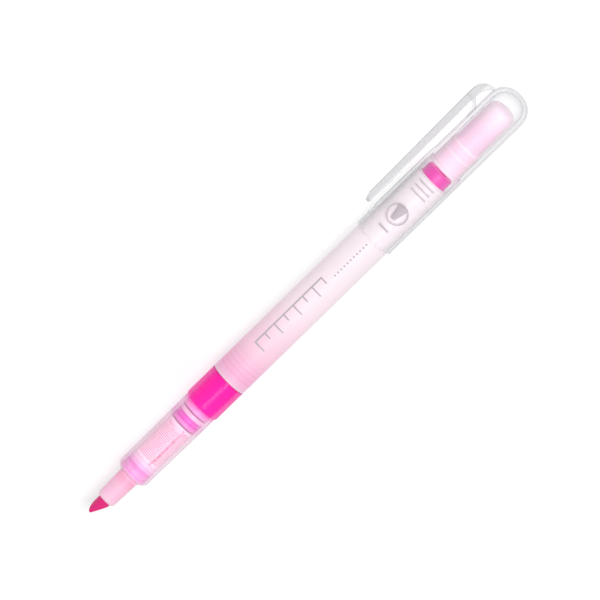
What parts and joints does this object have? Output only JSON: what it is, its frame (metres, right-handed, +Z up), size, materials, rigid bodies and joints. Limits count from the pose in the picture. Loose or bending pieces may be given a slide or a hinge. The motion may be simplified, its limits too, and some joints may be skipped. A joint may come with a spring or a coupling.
{
  "type": "capped liquid-ink highlighter",
  "caption": "Slim liquid-ink highlighter with a chisel nib, clear section, ink window, milky barrel, and a frosted clip cap posted on its tail.",
  "frame": {"origin": "centre of the bounding box on the table that the pen lies on", "axes": "+X along the pen towards the nib, +Z up, the clip on the -Y side and turned down until its lower edge meets the table"},
  "size_m": [0.1574, 0.0156, 0.0117],
  "materials": {
    "nib_fibre": "bonded fibre, ink-soaked",
    "holder_plastic": "satin moulded plastic",
    "bush_plastic": "satin moulded plastic",
    "section_plastic": "clear moulded plastic, lightly frosted",
    "collector_plastic": "satin moulded plastic",
    "wick_fibre": "bonded fibre, ink-soaked",
    "divider_plastic": "satin moulded plastic, ink-stained",
    "seal_rubber": "soft seal",
    "ink": "liquid ink",
    "barrel_plastic": "milky moulded plastic, satin",
    "plug_plastic": "satin moulded plastic",
    "cap_plastic": "frosted clear moulded plastic",
    "clip_plastic": "frosted clear moulded plastic",
    "inner_cap_plastic": "milky moulded plastic"
  },
  "bodies": {
    "pen": {"nib": "nib_fibre", "nib_holder": "holder_plastic", "front_bush": "bush_plastic", "section": "section_plastic", "collector": "collector_plastic", "feed_rod": "wick_fibre", "divider": "divider_plastic", "seal_ring_front": "seal_rubber", "seal_ring_rear": "seal_rubber", "ink": "ink", "barrel": "barrel_plastic", "tail_plug": "plug_plastic"},
    "cap": {"outer_cap": "cap_plastic", "clip_root": "clip_plastic", "inner_cap": "inner_cap_plastic"},
    "clip": {"clip": "clip_plastic"}
  },
  "joints": [
    {"name": "cap_pull", "type": "slide", "parent": "pen", "child": "cap", "axis": [-1, 0, 0], "range_m": [0, 0.04]},
    {"name": "clip_flex", "type": "hinge", "parent": "cap", "child": "clip", "pos_m": [-0.06828, -0.00623, 0.00239], "axis": [0, 0.3909, -0.9204], "range_deg": [0, 5], "stiffness_Nm_per_rad": 0.6}
  ]
}
